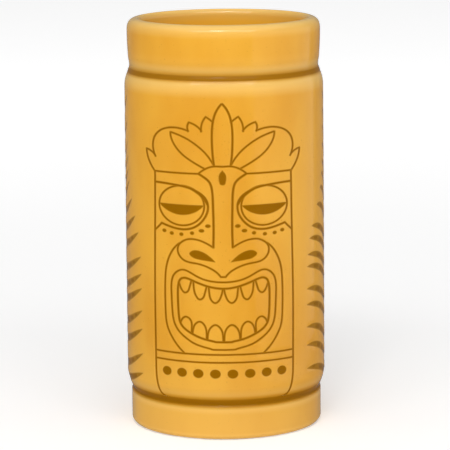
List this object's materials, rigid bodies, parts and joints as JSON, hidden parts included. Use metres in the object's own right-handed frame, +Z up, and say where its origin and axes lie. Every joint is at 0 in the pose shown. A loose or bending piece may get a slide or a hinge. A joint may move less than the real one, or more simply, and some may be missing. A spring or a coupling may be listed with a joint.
{
  "type": "tiki mug",
  "caption": "Tall glazed ceramic tiki mug in honey yellow, with a drawn tiki face on the front, a leaf frond at each side and a plain collar and foot band.",
  "frame": {"origin": "on the mug's axis, in the plane that its foot ring stands on", "axes": "+Z up along the mug's axis to its mouth; the tiki face looks along -Y; +X is to a viewer's right"},
  "size_m": [0.0756, 0.0758, 0.155],
  "materials": {
    "bare_clay": "matte",
    "honey_glaze": "gloss",
    "liner_glaze": "gloss",
    "pooled_glaze": "gloss",
    "dark_line_glaze": "gloss",
    "dark_fill_glaze": "gloss",
    "frond_glaze": "gloss"
  },
  "bodies": {
    "root": {"clay_body": "bare_clay", "outer_glaze": "honey_glaze", "liner_glaze": "liner_glaze", "foot_groove_ring": "pooled_glaze", "collar_groove_ring": "pooled_glaze", "panel_outline": "dark_line_glaze", "forehead_lines": "dark_line_glaze", "forehead_drop": "dark_fill_glaze", "centre_feather": "dark_line_glaze", "side_feathers": "dark_line_glaze", "crown_outline": "dark_line_glaze", "brow_lines": "dark_line_glaze", "eye_rims": "dark_line_glaze", "eye_slits": "dark_fill_glaze", "cheek_dots": "dark_fill_glaze", "nose_outline": "dark_line_glaze", "nostrils": "dark_fill_glaze", "muzzle_outline": "dark_line_glaze", "outer_lip_line": "dark_line_glaze", "inner_lip_line": "dark_line_glaze", "upper_teeth": "dark_line_glaze", "lower_teeth": "dark_line_glaze", "chin_band": "dark_line_glaze", "necklace_dots": "dark_fill_glaze", "left_frond": "frond_glaze", "right_frond": "frond_glaze"}
  },
  "joints": []
}
